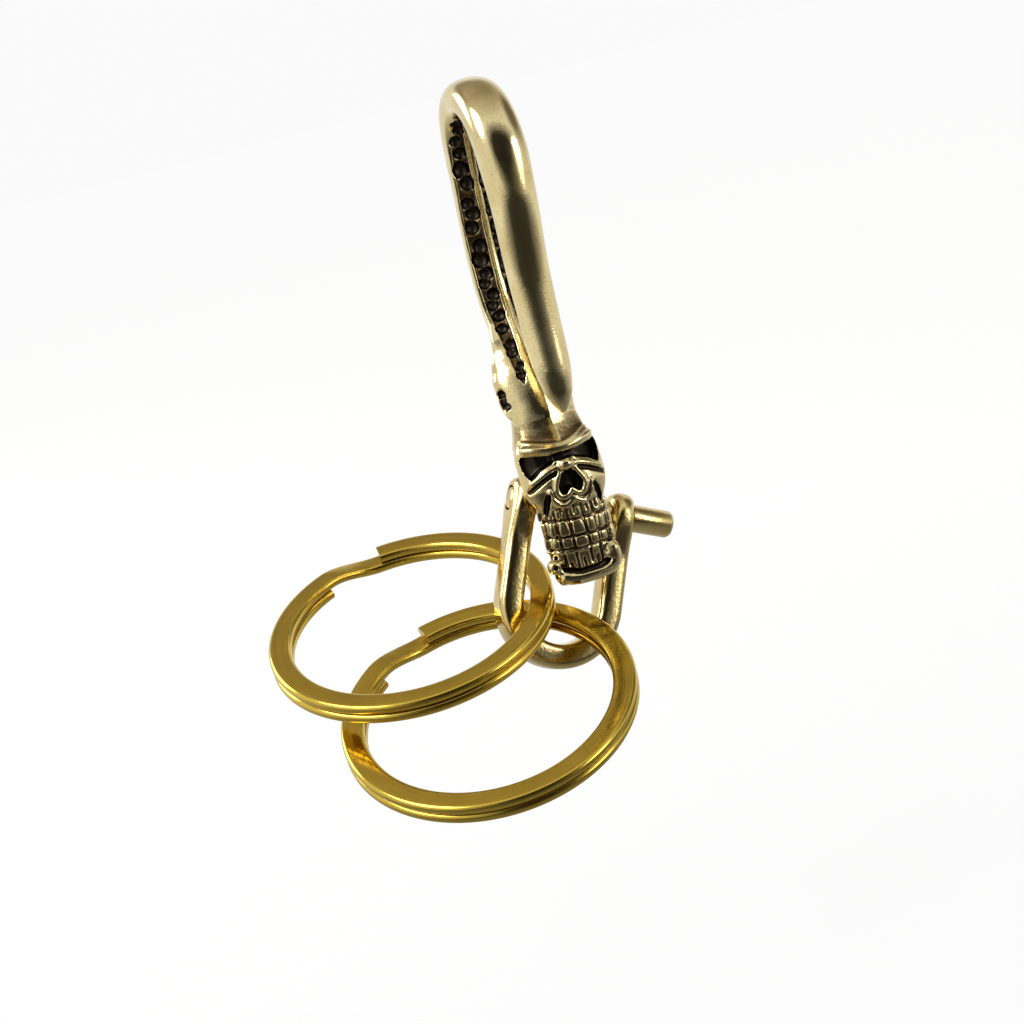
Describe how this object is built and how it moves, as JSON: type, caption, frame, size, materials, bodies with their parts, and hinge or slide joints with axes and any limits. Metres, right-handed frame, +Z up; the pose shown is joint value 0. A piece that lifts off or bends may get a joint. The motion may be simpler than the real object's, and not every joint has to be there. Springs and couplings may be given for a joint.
{
  "type": "belt key clip",
  "caption": "Cast brass belt hook with a skull head, carrying a screw pin shackle with split key rings; it hooks over a belt and keeps keys at hand.",
  "frame": {"origin": "inside of the hook's bend, where the belt's upper edge seats", "axes": "+Z up the hook, -Y the way the face and the hook's point look, +X on the right of somebody facing them"},
  "size_m": [0.0425, 0.0383, 0.0639],
  "materials": {
    "cast_brass": "polished casting, blackened in the recesses",
    "shackle_brass": "polished",
    "ring_brass": "bright drawn wire"
  },
  "bodies": {
    "hook": {"skull_hook": "cast_brass"},
    "shackle": {"shackle_bow": "shackle_brass"},
    "pin": {"shackle_pin": "shackle_brass"},
    "ring_left": {"split_ring_left": "ring_brass"},
    "ring_right": {"split_ring_right": "ring_brass"}
  },
  "joints": [
    {"name": "shackle_swing", "type": "hinge", "parent": "hook", "child": "shackle", "pos_m": [0.0008, 0.0026, -0.0395], "axis": [0.8988, 0, -0.4384], "range_deg": [-2, 85]},
    {"name": "pin_draw", "type": "slide", "parent": "shackle", "child": "pin", "axis": [0.8988, 0, -0.4384], "range_m": [0, 0.017]},
    {"name": "ring_left_turn", "type": "hinge", "parent": "shackle", "child": "ring_left", "pos_m": [-0.01714, 0.00464, -0.04632], "axis": [-0.1027, -0.3188, 0.9422], "continuous": true},
    {"name": "ring_right_turn", "type": "hinge", "parent": "shackle", "child": "ring_right", "pos_m": [-0.01416, -0.00619, -0.05355], "axis": [-0.1353, -0.388, 0.9117], "continuous": true}
  ]
}
